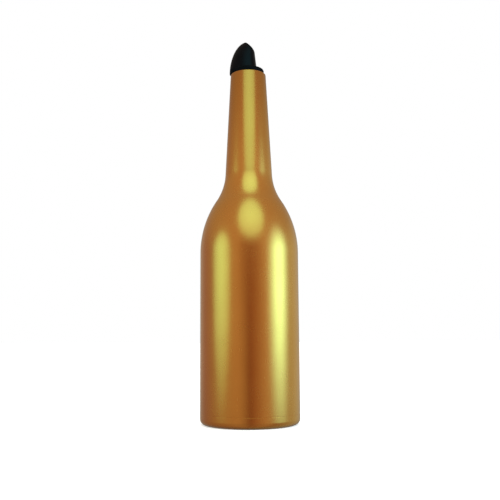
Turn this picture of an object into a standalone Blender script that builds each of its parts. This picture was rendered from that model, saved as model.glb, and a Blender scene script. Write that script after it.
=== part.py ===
"""Flair bottle with a beak pourer, built as five separate pieces.

Units are metres and +Z is up. The origin is the centre of the base, on the plane that
the bottle stands on. The beak stands over the -X side of the neck and pours that way.
"""

import math

import bmesh
import bpy
from mathutils import Matrix, Vector

# Fits between the pieces
SEAM_GAP = 0.0003
SPIGOT_CLEARANCE = 0.0003
COLLAR_CLEARANCE = 0.00045
FIN_CLEARANCE = 0.0003
STEM_CLEARANCE = 0.0003
TUBE_CLEARANCE = 0.0003

# Bottle: outer form
BODY_RADIUS = 0.0375
BODY_TOP_Z = 0.1288
SHOULDER_RADIUS = 0.0726
THROAT_RADIUS = 0.0420
NECK_LEAN = math.radians(3.06)
RIM_Z = 0.2711
RIM_RADIUS = 0.01382
RIM_ROUND = 0.0005

# Bottle: wall and bore
WALL = 0.0026
BORE_RADIUS = 0.00975
BORE_DEPTH = 0.033
BORE_FLARE = 0.008
BORE_LEAD_IN = 0.0006

# Base cup, welded into the open lower end of the shell
BASE_JOINT_Z = 0.0085
JOINT_BEVEL = 0.0004
BASE_CORNER = 0.0045
STANDING_RING = 0.0045
PUSH_UP = 0.0024
PUSH_UP_SLOPE = 0.0030
FLOOR_THICKNESS = 0.0026
SPIGOT_HEIGHT = 0.0070
SPIGOT_WALL = 0.0022

# Pourer: flange, collar and stem
FLANGE_RADIUS = 0.0124
FLANGE_THICKNESS = 0.0039
FLANGE_ROUND = 0.0012
COLLAR_LENGTH = 0.0050
STEM_RADIUS = 0.0068
BEAD_HEIGHT = 0.0028
BEAD_PROUD = 0.0007
BEAD_BEVEL = 0.0008

# Pourer: beak
BEAK_BACK_X = -0.01465
BEAK_CREST_X = -0.00168
BEAK_CREST_HEIGHT = 0.0267
BEAK_CURVE_START = 0.0017
BEAK_SQUARENESS = 1.75
BEAK_FOOT_LIFT = 0.0006
BEAK_FRONT_X = 0.00732
BEAK_FRONT_DRAFT = 0.112
BEAK_WALL = 0.0015
MOUTH_HEIGHT = 0.0180
MOUTH_TILT = math.radians(48.4)

# Pourer: passages
POUR_BORE_RADIUS = 0.0037
POUR_BORE_X = -0.0023
FUNNEL_FLOOR = 0.0016
VENT_RADIUS = 0.0009
VENT_X = 0.0093

# Breather tube
TUBE_RADIUS = 0.0015
TUBE_BORE_RADIUS = 0.0009
TUBE_X = 0.0041
TUBE_SOCKET_HEIGHT = 0.0007
TUBE_REACH = 0.0400

# Cork sleeve
CORK_LENGTH = 0.0260
CORK_WALL = 0.0013
FIN_COUNT = 5
FIN_PITCH = 0.0048
FIN_TIP = 0.0008
FIN_ROOT = 0.0028

# Fineness of the round surfaces
ROUND_STEPS = 48
SMALL_STEPS = 24
SHARP_ANGLE = math.radians(32)
WELD_DISTANCE = 0.00001

FLANGE_BOTTOM_Z = RIM_Z + SEAM_GAP
FLANGE_TOP_Z = FLANGE_BOTTOM_Z + FLANGE_THICKNESS
COLLAR_BOTTOM_Z = FLANGE_BOTTOM_Z - COLLAR_LENGTH
CORK_TOP_Z = COLLAR_BOTTOM_Z - SEAM_GAP
CORK_BOTTOM_Z = CORK_TOP_Z - CORK_LENGTH
BEAD_TOP_Z = CORK_BOTTOM_Z - SEAM_GAP
STEM_BOTTOM_Z = BEAD_TOP_Z - BEAD_HEIGHT
SOCKET_TOP_Z = COLLAR_BOTTOM_Z + TUBE_SOCKET_HEIGHT


def clear_scene():
    """Remove whatever the scene starts with."""
    for item in list(bpy.data.objects):
        bpy.data.objects.remove(item, do_unlink=True)


def make_collection(name):
    """Add a collection to the scene."""
    collection = bpy.data.collections.new(name)
    bpy.context.scene.collection.children.link(collection)
    return collection


def make_material(name, colour, roughness, metallic):
    """A plain finish: linear colour, roughness and metallic value."""
    material = bpy.data.materials.new(name)
    material.use_nodes = True
    shader = material.node_tree.nodes["Principled BSDF"]
    shader.inputs["Base Color"].default_value = (*colour, 1.0)
    shader.inputs["Roughness"].default_value = roughness
    shader.inputs["Metallic"].default_value = metallic
    material.diffuse_color = (*colour, 1.0)
    return material


def add_object(name, mesh, collection):
    """Link a mesh into a collection as one object."""
    piece = bpy.data.objects.new(name, mesh)
    collection.objects.link(piece)
    return piece


def arc(centre, radius, start, end, segments):
    """Points on an arc in the XZ plane, from one angle to another."""
    points = []
    for step in range(segments + 1):
        angle = start + (end - start) * step / segments
        x = centre[0] + radius * math.cos(angle)
        z = centre[1] + radius * math.sin(angle)
        points.append((x, z))
    return points


def turned(name, profile, steps, collection, closed):
    """A profile of (radius, height) points, screwed round the Z axis.

    The points run down the outer side. An open profile starts and ends on the axis.
    """
    mesh = bpy.data.meshes.new(name)
    points = [(radius, 0.0, height) for radius, height in profile]
    edges = [(index, index + 1) for index in range(len(points) - 1)]
    if closed:
        edges.append((len(points) - 1, 0))
    mesh.from_pydata(points, edges, [])
    piece = add_object(name, mesh, collection)
    screw = piece.modifiers.new("turn", "SCREW")
    screw.axis = "Z"
    screw.angle = math.tau
    screw.steps = steps
    screw.render_steps = steps
    screw.use_merge_vertices = True
    screw.merge_threshold = WELD_DISTANCE
    return piece


def combine(piece, other, operation):
    """Cut the other shape out of the piece, or join it on."""
    boolean = piece.modifiers.new(operation.lower(), "BOOLEAN")
    boolean.operation = operation
    boolean.solver = "EXACT"
    boolean.object = other
    other.hide_render = True
    other.display_type = "WIRE"


def settle(piece, material=None):
    """Make the modified shape the piece's own mesh, smooth but for its edges."""
    depsgraph = bpy.context.evaluated_depsgraph_get()
    mesh = bpy.data.meshes.new_from_object(piece.evaluated_get(depsgraph))
    piece.modifiers.clear()
    piece.data = mesh
    mesh.shade_smooth()
    mesh.set_sharp_from_angle(angle=SHARP_ANGLE)
    mesh.materials.clear()
    if material:
        mesh.materials.append(material)


def rod(name, radius, start, end, collection):
    """A plain round bar between two points, used as a drill."""
    direction = end - start
    mesh = bpy.data.meshes.new(name)
    shape = bmesh.new()
    bmesh.ops.create_cone(
        shape, cap_ends=True, segments=SMALL_STEPS,
        radius1=radius, radius2=radius, depth=direction.length,
    )
    turn = direction.to_track_quat("Z", "Y").to_matrix().to_4x4()
    place = Matrix.Translation((start + end) / 2)
    bmesh.ops.transform(shape, matrix=place @ turn, verts=shape.verts)
    shape.to_mesh(mesh)
    shape.free()
    return add_object(name, mesh, collection)


def shoulder_arcs():
    """Centres of the two sweeps of the shoulder, and the lean where they meet.

    The outward sweep leaves the cylinder upright. The hollow sweep touches it and
    the straight line of the neck, so its centre lies on a line beside the neck.
    """
    lower = Vector((BODY_RADIUS - SHOULDER_RADIUS, BODY_TOP_Z))
    outward = Vector((math.cos(NECK_LEAN), math.sin(NECK_LEAN)))
    downward = Vector((math.sin(NECK_LEAN), -math.cos(NECK_LEAN)))
    start = Vector((RIM_RADIUS, RIM_Z)) + THROAT_RADIUS * outward
    span = SHOULDER_RADIUS + THROAT_RADIUS
    along = (start - lower).dot(downward)
    across = (start - lower).length_squared - span ** 2
    upper = start + (-along - math.sqrt(along ** 2 - across)) * downward
    lean = math.atan2(upper.y - lower.y, upper.x - lower.x)
    return lower, upper, lean


def neck_radius(z, inset=0.0):
    """Radius of the straight tapered neck at a height, less a wall."""
    return RIM_RADIUS + (RIM_Z - z) * math.tan(NECK_LEAN) - inset / math.cos(NECK_LEAN)


def shoulder_profile(inset, segments):
    """Neck foot, hollow sweep and outward sweep, from the top down, less a wall."""
    lower, upper, lean = shoulder_arcs()
    hollow = arc(upper, THROAT_RADIUS + inset, math.pi + NECK_LEAN, math.pi + lean, segments)
    outward = arc(lower, SHOULDER_RADIUS - inset, lean, 0.0, segments)
    return hollow + outward[1:]


def make_bottle_shell(collection, material):
    """Neck, shoulder and cylinder: one hollow moulding, open at both ends."""
    joint_z = BASE_JOINT_Z + SEAM_GAP / 2
    inner_radius = BODY_RADIUS - WALL
    bore_end_z = RIM_Z - BORE_DEPTH
    flare_end_z = bore_end_z - BORE_FLARE
    round_centre = (neck_radius(RIM_Z) - RIM_ROUND, RIM_Z - RIM_ROUND)
    outside = arc(round_centre, RIM_ROUND, math.pi / 2, 0.0, 3)
    outside += shoulder_profile(0.0, 9)
    outside.append((BODY_RADIUS, joint_z + JOINT_BEVEL))
    outside.append((BODY_RADIUS - JOINT_BEVEL, joint_z))
    inside = [(inner_radius, joint_z)]
    inside += reversed(shoulder_profile(WALL, 7))
    inside.append((neck_radius(flare_end_z, WALL), flare_end_z))
    inside.append((BORE_RADIUS, bore_end_z))
    inside.append((BORE_RADIUS, RIM_Z - BORE_LEAD_IN))
    inside.append((BORE_RADIUS + BORE_LEAD_IN, RIM_Z))
    shell = turned("bottle_shell", outside + inside, ROUND_STEPS, collection, closed=True)
    settle(shell, material)


def make_base_cup(collection, material):
    """Bottom of the bottle: standing ring, shallow push-up and the welded spigot."""
    joint_z = BASE_JOINT_Z - SEAM_GAP / 2
    spigot_radius = BODY_RADIUS - WALL - SPIGOT_CLEARANCE
    spigot_inside = spigot_radius - SPIGOT_WALL
    spigot_top = BASE_JOINT_Z + SPIGOT_HEIGHT
    floor_z = PUSH_UP + FLOOR_THICKNESS
    ring_outer = BODY_RADIUS - BASE_CORNER
    ring_inner = ring_outer - STANDING_RING
    profile = [(0.0, floor_z)]
    profile += arc((spigot_inside - SPIGOT_WALL, floor_z + SPIGOT_WALL), SPIGOT_WALL,
                   -math.pi / 2, 0.0, 4)
    profile += [
        (spigot_inside, spigot_top),
        (spigot_radius - JOINT_BEVEL, spigot_top),
        (spigot_radius, spigot_top - JOINT_BEVEL),
        (spigot_radius, joint_z),
        (BODY_RADIUS - JOINT_BEVEL, joint_z),
        (BODY_RADIUS, joint_z - JOINT_BEVEL),
    ]
    profile += arc((ring_outer, BASE_CORNER), BASE_CORNER, 0.0, -math.pi / 2, 7)
    profile += [
        (ring_inner, 0.0),
        (ring_inner - PUSH_UP_SLOPE, PUSH_UP),
        (0.0, PUSH_UP),
    ]
    cup = turned("base_cup", profile, ROUND_STEPS, collection, closed=False)
    settle(cup, material)


def beak_section(z, inset):
    """Centre and radius of the beak's round section at a height, less a wall."""
    start_z = FLANGE_BOTTOM_Z + BEAK_CURVE_START
    reach = BEAK_CREST_X - BEAK_BACK_X - inset
    rise = FLANGE_BOTTOM_Z + BEAK_CREST_HEIGHT - start_z - inset
    share = min(max((z - start_z) / rise, 0.0), 1.0)
    curve = (1.0 - share ** BEAK_SQUARENESS) ** (1.0 / BEAK_SQUARENESS)
    back = BEAK_CREST_X - reach * curve
    front = BEAK_FRONT_X - BEAK_FRONT_DRAFT * (z - FLANGE_BOTTOM_Z) - inset
    return (back + front) / 2, (front - back) / 2


def loft(name, sections, collection):
    """A closed skin through level round sections of (centre x, radius, z)."""
    shape = bmesh.new()
    rings = []
    for centre, radius, z in sections:
        ring = []
        for step in range(ROUND_STEPS):
            angle = math.tau * step / ROUND_STEPS
            point = (centre + radius * math.cos(angle), radius * math.sin(angle), z)
            ring.append(shape.verts.new(point))
        rings.append(ring)
    for low, high in zip(rings, rings[1:]):
        for step in range(ROUND_STEPS):
            after = (step + 1) % ROUND_STEPS
            shape.faces.new((low[step], low[after], high[after], high[step]))
    shape.faces.new(list(reversed(rings[0])))
    shape.faces.new(rings[-1])
    mesh = bpy.data.meshes.new(name)
    shape.to_mesh(mesh)
    shape.free()
    return add_object(name, mesh, collection)


def beak_heights(inset, segments):
    """Heights up the curved back, closer together near the crest."""
    start_z = FLANGE_BOTTOM_Z + BEAK_CURVE_START
    rise = FLANGE_BOTTOM_Z + BEAK_CREST_HEIGHT - start_z - inset
    turns = [math.pi / 2 * step / segments for step in range(segments + 1)]
    return [start_z + rise * math.sin(turn) for turn in turns]


def make_beak(cutters):
    """Outer skin of the beak, cut off at the slanted mouth."""
    foot_z = FLANGE_BOTTOM_Z + BEAK_FOOT_LIFT
    heights = [foot_z] + beak_heights(0.0, 12)
    sections = [(*beak_section(z, 0.0), z) for z in heights]
    beak = loft("beak_skin", sections, cutters)
    combine(beak, make_mouth_cutter(cutters), "DIFFERENCE")
    settle(beak)
    return beak


def make_mouth_cutter(cutters):
    """A block that lies on the slanted plane of the mouth."""
    size = 4 * BODY_RADIUS
    mouth_z = FLANGE_BOTTOM_Z + MOUTH_HEIGHT
    centre, radius = beak_section(mouth_z, 0.0)
    mesh = bpy.data.meshes.new("mouth_cutter")
    shape = bmesh.new()
    bmesh.ops.create_cube(shape, size=size)
    lift = Matrix.Translation((0.0, 0.0, size / 2))
    tilt = Matrix.Rotation(MOUTH_TILT, 4, "Y")
    place = Matrix.Translation((centre + radius, 0.0, mouth_z))
    bmesh.ops.transform(shape, matrix=place @ tilt @ lift, verts=shape.verts)
    shape.to_mesh(mesh)
    shape.free()
    return add_object("mouth_cutter", mesh, cutters)


def make_channel(cutters):
    """Inside of the beak: a funnel out of the stem's bore that widens into the beak."""
    floor_z = FLANGE_BOTTOM_Z + FUNNEL_FLOOR
    heights = [z for z in beak_heights(BEAK_WALL, 10) if z > FLANGE_TOP_Z]
    sections = [(POUR_BORE_X, POUR_BORE_RADIUS, floor_z)]
    sections.append((*beak_section(FLANGE_TOP_Z, BEAK_WALL), FLANGE_TOP_Z))
    sections += [(*beak_section(z, BEAK_WALL), z) for z in heights]
    top_z = FLANGE_BOTTOM_Z + BEAK_CREST_HEIGHT + BEAK_WALL
    sections.append((sections[-1][0], sections[-1][1], top_z))
    return loft("channel_cutter", sections, cutters)


def stem_profile():
    """Flange, collar, stem and end bead, from the top down."""
    bead_radius = STEM_RADIUS + STEM_CLEARANCE + BEAD_PROUD
    flange_edge = (FLANGE_RADIUS - FLANGE_ROUND, FLANGE_TOP_Z - FLANGE_ROUND)
    profile = [(0.0, FLANGE_TOP_Z)]
    profile += arc(flange_edge, FLANGE_ROUND, math.pi / 2, 0.0, 4)
    collar_radius = BORE_RADIUS - COLLAR_CLEARANCE
    profile += [
        (FLANGE_RADIUS, FLANGE_BOTTOM_Z),
        (collar_radius, FLANGE_BOTTOM_Z),
        (collar_radius, COLLAR_BOTTOM_Z),
        (STEM_RADIUS, COLLAR_BOTTOM_Z),
        (STEM_RADIUS, BEAD_TOP_Z),
        (bead_radius, BEAD_TOP_Z),
        (bead_radius, STEM_BOTTOM_Z + BEAD_BEVEL),
        (bead_radius - BEAD_BEVEL, STEM_BOTTOM_Z),
        (0.0, STEM_BOTTOM_Z),
    ]
    return profile


def make_pourer_spout(collection, cutters, material):
    """Beak, flange and stem in one moulding, with its pouring and vent passages."""
    below = STEM_BOTTOM_Z - BEAD_HEIGHT
    spout = turned("pourer_spout", stem_profile(), ROUND_STEPS, collection, closed=False)
    pour_drill = rod(
        "pour_drill", POUR_BORE_RADIUS,
        Vector((POUR_BORE_X, 0.0, below)),
        Vector((POUR_BORE_X, 0.0, FLANGE_BOTTOM_Z + FUNNEL_FLOOR + BEAK_WALL)), cutters,
    )
    socket_drill = rod(
        "socket_drill", TUBE_RADIUS + TUBE_CLEARANCE,
        Vector((TUBE_X, 0.0, below)), Vector((TUBE_X, 0.0, SOCKET_TOP_Z)), cutters,
    )
    vent_foot = Vector((TUBE_X, 0.0, SOCKET_TOP_Z - VENT_RADIUS))
    vent_head = Vector((VENT_X, 0.0, FLANGE_TOP_Z))
    overshoot = (vent_head - vent_foot).normalized() * VENT_RADIUS * 2
    vent_drill = rod("vent_drill", VENT_RADIUS, vent_foot, vent_head + overshoot, cutters)
    combine(spout, make_beak(cutters), "UNION")
    combine(spout, make_channel(cutters), "DIFFERENCE")
    for drill in (pour_drill, socket_drill, vent_drill):
        combine(spout, drill, "DIFFERENCE")
    settle(spout, material)


def make_pourer_cork(collection, material):
    """Soft sleeve on the stem, with rings of fins that grip the neck's bore."""
    inner_radius = STEM_RADIUS + STEM_CLEARANCE
    core_radius = inner_radius + CORK_WALL
    tip_radius = BORE_RADIUS - FIN_CLEARANCE
    fins_top = CORK_TOP_Z - (CORK_LENGTH - (FIN_COUNT - 1) * FIN_PITCH - FIN_ROOT) / 2
    profile = [(inner_radius, CORK_TOP_Z), (core_radius, CORK_TOP_Z)]
    for fin in range(FIN_COUNT):
        z = fins_top - fin * FIN_PITCH
        profile += [
            (core_radius, z),
            (tip_radius, z),
            (tip_radius, z - FIN_TIP),
            (core_radius, z - FIN_ROOT),
        ]
    profile += [(core_radius, CORK_BOTTOM_Z), (inner_radius, CORK_BOTTOM_Z)]
    cork = turned("pourer_cork", profile, ROUND_STEPS, collection, closed=True)
    settle(cork, material)


def make_breather_tube(collection, material):
    """Thin air tube from its socket in the stem down into the bottle."""
    top_z = SOCKET_TOP_Z - TUBE_CLEARANCE - VENT_RADIUS
    bottom_z = STEM_BOTTOM_Z - TUBE_REACH
    profile = [
        (TUBE_BORE_RADIUS, top_z),
        (TUBE_RADIUS, top_z),
        (TUBE_RADIUS, bottom_z),
        (TUBE_BORE_RADIUS, bottom_z),
    ]
    tube = turned("breather_tube", profile, SMALL_STEPS, collection, closed=True)
    settle(tube, material)
    tube.location = (TUBE_X, 0.0, 0.0)


def build():
    """Make every piece of the bottle and its pourer."""
    clear_scene()
    parts = make_collection("flair_bottle")
    cutters = make_collection("cutters")
    gold = make_material("gold_lacquer", (0.50, 0.24, 0.045), 0.32, 1.0)
    black = make_material("black_plastic", (0.010, 0.012, 0.014), 0.42, 0.0)
    rubber = make_material("black_rubber", (0.018, 0.018, 0.018), 0.75, 0.0)
    clear = make_material("natural_plastic", (0.62, 0.62, 0.58), 0.45, 0.0)
    make_bottle_shell(parts, gold)
    make_base_cup(parts, gold)
    make_pourer_spout(parts, cutters, black)
    make_pourer_cork(parts, rubber)
    make_breather_tube(parts, clear)


build()
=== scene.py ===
# %% [markdown]
# A flair bottle is the light plastic bottle that bartenders practise their throws
# with. This one is a gold lacquered shell with a base welded into its lower end,
# and a black pourer whose ribbed cork is pushed into the neck. The solid model
# already says where every piece is. This lesson gives each piece its fine surface,
# its finish, the studio round it and the camera.

import math

import bmesh
import bpy
from mathutils import Matrix, Vector


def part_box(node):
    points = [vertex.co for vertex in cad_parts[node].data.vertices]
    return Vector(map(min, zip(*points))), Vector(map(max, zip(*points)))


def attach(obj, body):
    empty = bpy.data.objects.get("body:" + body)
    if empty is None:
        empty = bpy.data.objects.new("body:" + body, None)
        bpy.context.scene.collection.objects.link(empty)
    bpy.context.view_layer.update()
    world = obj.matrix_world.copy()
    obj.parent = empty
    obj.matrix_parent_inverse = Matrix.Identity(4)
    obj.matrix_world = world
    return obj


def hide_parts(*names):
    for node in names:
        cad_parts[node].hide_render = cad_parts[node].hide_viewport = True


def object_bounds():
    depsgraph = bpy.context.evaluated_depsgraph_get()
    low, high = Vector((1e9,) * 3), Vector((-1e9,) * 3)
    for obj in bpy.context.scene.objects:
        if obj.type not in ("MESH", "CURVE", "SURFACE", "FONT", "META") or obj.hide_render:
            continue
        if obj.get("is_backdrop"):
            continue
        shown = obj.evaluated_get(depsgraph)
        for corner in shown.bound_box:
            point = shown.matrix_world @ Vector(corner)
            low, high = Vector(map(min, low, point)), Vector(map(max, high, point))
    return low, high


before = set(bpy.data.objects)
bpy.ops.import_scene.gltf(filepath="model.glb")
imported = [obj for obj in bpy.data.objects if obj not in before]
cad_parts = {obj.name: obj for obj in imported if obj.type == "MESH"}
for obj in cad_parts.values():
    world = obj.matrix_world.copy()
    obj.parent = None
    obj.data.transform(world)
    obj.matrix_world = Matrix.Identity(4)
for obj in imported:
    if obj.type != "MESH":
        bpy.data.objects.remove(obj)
solid_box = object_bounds()
print("pieces:", ", ".join(sorted(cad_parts)))

# %% [markdown]
# Every size that a box can tell is read from the solid model, so that a finished
# piece always sits where its solid sits. The sweeps of the shoulder and the curve
# of the beak can't be read from a box, so they are written again, in metres.

# %% Sizes read from the solids
shell_low, shell_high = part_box("bottle_shell")
base_low, base_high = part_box("base_cup")
spout_low, spout_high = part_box("pourer_spout")
cork_low, cork_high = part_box("pourer_cork")
tube_low, tube_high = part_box("breather_tube")

body_radius = shell_high.x
rim_z = shell_high.z
seam_z = shell_low.z
spigot_top_z = base_high.z
print(f"body {2000 * body_radius:.1f} mm across, rim at {1000 * rim_z:.1f} mm")

# %% [markdown]
# Bottles, corks and tubes are all turned shapes: one outline carried round an
# axis. Real mouldings have no knife edges, so each corner of an outline carries
# its own small round. The helper below swaps a corner for an arc that touches
# both of its sides. It works in space as well as on a flat outline, so the slanted
# lip of the beak can use it later.


# %% Rounded corners
def corner_round(corner, before, after, radius, steps):
    """Points of an arc that rounds a corner between two directions."""
    before = before.normalized()
    after = after.normalized()
    half = before.angle(after) / 2
    centre = corner + (before + after).normalized() * radius / math.sin(half)
    reach = radius / math.tan(half)
    start = (corner + before * reach - centre) / radius
    end = (corner + after * reach - centre) / radius
    sweep = start.angle(end)
    points = []
    for step in range(steps + 1):
        share = step / steps
        turned_start = start * math.sin((1 - share) * sweep)
        turned_end = end * math.sin(share * sweep)
        points.append(centre + (turned_start + turned_end) * radius / math.sin(sweep))
    return points


def soften(corners, steps=5):
    """A closed outline through (radius, height, round) corners."""
    outline = []
    for index, (across, height, round_radius) in enumerate(corners):
        corner = Vector((across, height))
        before = Vector(corners[index - 1][:2]) - corner
        after = Vector(corners[(index + 1) % len(corners)][:2]) - corner
        if round_radius:
            outline += corner_round(corner, before, after, round_radius, steps)
        else:
            outline.append(corner)
    return outline


square_corner = corner_round(Vector((0, 0)), Vector((1, 0)), Vector((0, 1)), 0.1, 5)
print(f"a rounded corner is an arc of {len(square_corner)} points")

# %% [markdown]
# The turning itself is left to the Screw modifier, which carries an outline round
# the Z axis. Long straight stretches are first split into short ones. The shading
# is worked out at the points, and a long face beside a curve would spread the
# curve's shade along its whole length. A guard point a tenth of a millimetre from
# each end of a straight stretch stops that, so that even a fine seam stays fine.

# %% Turning an outline
ROUND_STEPS = 192
LONGEST_STRETCH = 0.006
STRAIGHT_STRETCH = 0.002
GUARD = 0.0001
WELD_DISTANCE = 0.000001
SHARP_ANGLE = math.radians(40)


def add_object(name, data):
    """A new object in the scene that shows a mesh, a lamp or a camera."""
    made = bpy.data.objects.new(name, data)
    bpy.context.scene.collection.objects.link(made)
    return made


def short_stretches(outline):
    """The same outline with its long straight runs split up."""
    points = []
    for index, point in enumerate(outline):
        after = outline[(index + 1) % len(outline)]
        length = (after - point).length
        if length > STRAIGHT_STRETCH:
            pieces = math.ceil(length / LONGEST_STRETCH)
            shares = [step / pieces for step in range(1, pieces)]
            shares = [0.0, GUARD / length, *shares, 1.0 - GUARD / length]
        else:
            shares = [0.0]
        points += [point.lerp(after, share) for share in shares]
    return points


def finish_mesh(piece):
    """Turn modifiers into the piece's own mesh, smooth but for its sharp edges."""
    depsgraph = bpy.context.evaluated_depsgraph_get()
    mesh = bpy.data.meshes.new_from_object(piece.evaluated_get(depsgraph))
    shape = bmesh.new()
    shape.from_mesh(mesh)
    bmesh.ops.remove_doubles(shape, verts=shape.verts, dist=WELD_DISTANCE)
    bmesh.ops.dissolve_degenerate(shape, dist=WELD_DISTANCE, edges=shape.edges)
    shape.to_mesh(mesh)
    shape.free()
    piece.modifiers.clear()
    piece.data = mesh
    mesh.shade_smooth()
    mesh.set_sharp_from_angle(angle=SHARP_ANGLE)


def turn_outline(name, outline, steps=ROUND_STEPS):
    """A piece turned round the Z axis from a closed outline.

    The points run down the outer side and up the inner one. An outline of a
    solid shape starts and ends on the axis.
    """
    points = short_stretches(outline)
    solid = outline[0].x == 0.0 and outline[-1].x == 0.0
    if solid:
        points = points[:points.index(outline[-1]) + 1]
    count = len(points)
    mesh = bpy.data.meshes.new(name)
    edges = [(index, (index + 1) % count) for index in range(count - solid)]
    mesh.from_pydata([(point.x, 0.0, point.y) for point in points], edges, [])
    piece = add_object(name, mesh)
    screw = piece.modifiers.new("turn", "SCREW")
    screw.axis = "Z"
    screw.steps = steps
    screw.render_steps = steps
    screw.use_merge_vertices = True
    screw.merge_threshold = WELD_DISTANCE
    finish_mesh(piece)
    print(f"{name}: {len(piece.data.polygons)} faces")
    return piece


# %% [markdown]
# The shell is blow moulded, so its wall is even and the inside follows the
# outside. From the rim down there is a straight neck that leans out by three
# degrees, a hollow sweep, an outward sweep and then the cylinder. The two sweeps
# are arcs that touch each other and their neighbours. Only the centre of the
# hollow one has to be worked out, from the neck line and the outward arc.

# %% The sweeps of the shoulder
BODY_TOP_Z = 0.1288
SHOULDER_RADIUS = 0.0726
THROAT_RADIUS = 0.0420
NECK_LEAN = math.radians(3.06)
RIM_RADIUS = 0.01382
SWEEP_STEPS = 40


def arc(centre, radius, start, end, steps):
    """Points on a flat arc from one angle to another."""
    points = []
    for step in range(steps + 1):
        angle = start + (end - start) * step / steps
        points.append(centre + radius * Vector((math.cos(angle), math.sin(angle))))
    return points


def neck_radius(height, wall=0.0):
    """Radius of the leaning neck at a height, less a wall."""
    outside = RIM_RADIUS + (rim_z - height) * math.tan(NECK_LEAN)
    return outside - wall / math.cos(NECK_LEAN)


def shoulder(wall=0.0):
    """The hollow sweep and the outward sweep, from the top down, less a wall."""
    lower = Vector((body_radius - SHOULDER_RADIUS, BODY_TOP_Z))
    outward = Vector((math.cos(NECK_LEAN), math.sin(NECK_LEAN)))
    downward = Vector((math.sin(NECK_LEAN), -math.cos(NECK_LEAN)))
    beside = Vector((RIM_RADIUS, rim_z)) + THROAT_RADIUS * outward
    span = SHOULDER_RADIUS + THROAT_RADIUS
    along = (beside - lower).dot(downward)
    across = (beside - lower).length_squared - span ** 2
    upper = beside + (-along - math.sqrt(along ** 2 - across)) * downward
    lean = math.atan2(upper.y - lower.y, upper.x - lower.x)
    hollow = arc(upper, THROAT_RADIUS + wall, math.pi + NECK_LEAN, math.pi + lean, SWEEP_STEPS)
    return hollow + arc(lower, SHOULDER_RADIUS - wall, lean, 0.0, SWEEP_STEPS)[1:]


print(f"the neck meets the shoulder at {1000 * shoulder()[0].y:.1f} mm")

# %% [markdown]
# At its lower end the shell is trimmed square and its edge broken. At its mouth
# the edge is rounded outside and led in inside, where the cork goes. The bore is
# straight for the length of the cork and then flares out to the even wall.

# %% Turn the gold shell
WALL = 0.0026
BORE_RADIUS = 0.00975
BORE_DEPTH = 0.033
BORE_FLARE = 0.008
RIM_ROUND = 0.0005
MOUTH_ROUND = 0.0006
SEAM_ROUND = 0.00010


def rounded(across, height, before, after, radius, steps=6):
    """One rounded corner between two neighbouring points."""
    corner = Vector((across, height))
    return corner_round(corner, Vector(before) - corner, Vector(after) - corner, radius, steps)


def shell_outline():
    """Outside from the mouth down to the seam, then the inside back up."""
    bore_end_z = rim_z - BORE_DEPTH
    flare_end_z = bore_end_z - BORE_FLARE
    inner_radius = body_radius - WALL
    outside = shoulder()
    inside = list(reversed(shoulder(WALL)))
    outline = rounded(RIM_RADIUS, rim_z, (BORE_RADIUS, rim_z), outside[0], RIM_ROUND)
    outline += outside
    outline += rounded(body_radius, seam_z, outside[-1], (inner_radius, seam_z), SEAM_ROUND)
    outline += rounded(inner_radius, seam_z, (body_radius, seam_z), inside[0], SEAM_ROUND)
    outline += inside
    outline.append(Vector((neck_radius(flare_end_z, WALL), flare_end_z)))
    outline.append(Vector((BORE_RADIUS, bore_end_z)))
    outline += rounded(BORE_RADIUS, rim_z, (BORE_RADIUS, bore_end_z), (RIM_RADIUS, rim_z),
                       MOUTH_ROUND)
    return outline


gold_shell = turn_outline("gold_shell", shell_outline())

# %% [markdown]
# The base is an injection moulded cup. Its spigot stands inside the shell, where
# the weld holds it, and its outer edge comes down round a soft corner to a flat
# standing ring. The middle is pushed up, so that only the ring touches the bar.
# A small gate mark in the middle shows where the plastic entered the mould. The
# weld squeezes a little plastic into the seam. It fills the gap almost to the
# surface, so that after painting the seam is a fine groove and not a black line.

# %% Turn the base
BASE_CORNER = 0.0045
BASE_ROUND_STEPS = 10
STANDING_RING = 0.0045
PUSH_UP = 0.0024
PUSH_UP_SLOPE = 0.0030
FLOOR_THICKNESS = 0.0026
SPIGOT_CLEARANCE = 0.0003
SPIGOT_WALL = 0.0022
SPIGOT_FOOT_ROUND = 0.0022
SPIGOT_ROUND = 0.0004
RING_ROUND = 0.0005
PUSH_UP_ROUND = 0.0010
GATE_RADIUS = 0.0022
GATE_DEPTH = 0.0005
GATE_ROUND = 0.0003
SEAM_GAP = 0.0003
GROOVE_DEPTH = 0.00008
WELD_SLACK = 0.00001


def base_outline():
    """Up and over the spigot, down the outside and across the underside."""
    joint_z = seam_z - SEAM_GAP
    spigot_radius = body_radius - WALL - SPIGOT_CLEARANCE
    spigot_inside = spigot_radius - SPIGOT_WALL
    floor_z = PUSH_UP + FLOOR_THICKNESS
    weld_radius = body_radius - GROOVE_DEPTH
    weld_z = seam_z - WELD_SLACK
    ring_outer = body_radius - BASE_CORNER
    ring_inner = ring_outer - STANDING_RING
    corners = [
        (0.0, floor_z, 0.0),
        (spigot_inside, floor_z, SPIGOT_FOOT_ROUND),
        (spigot_inside, spigot_top_z, SPIGOT_ROUND),
        (spigot_radius, spigot_top_z, SPIGOT_ROUND),
        (spigot_radius, weld_z, 0.0),
        (weld_radius, weld_z, 0.0),
        (weld_radius, joint_z, 0.0),
        (body_radius, joint_z, SEAM_ROUND),
        (body_radius, 0.0, BASE_CORNER),
        (ring_inner, 0.0, RING_ROUND),
        (ring_inner - PUSH_UP_SLOPE, PUSH_UP, PUSH_UP_ROUND),
        (GATE_RADIUS, PUSH_UP, GATE_ROUND),
        (GATE_RADIUS, PUSH_UP + GATE_DEPTH, 0.0),
        (0.0, PUSH_UP + GATE_DEPTH, 0.0),
    ]
    return soften(corners, BASE_ROUND_STEPS)


gold_base = turn_outline("gold_base", base_outline())

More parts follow.
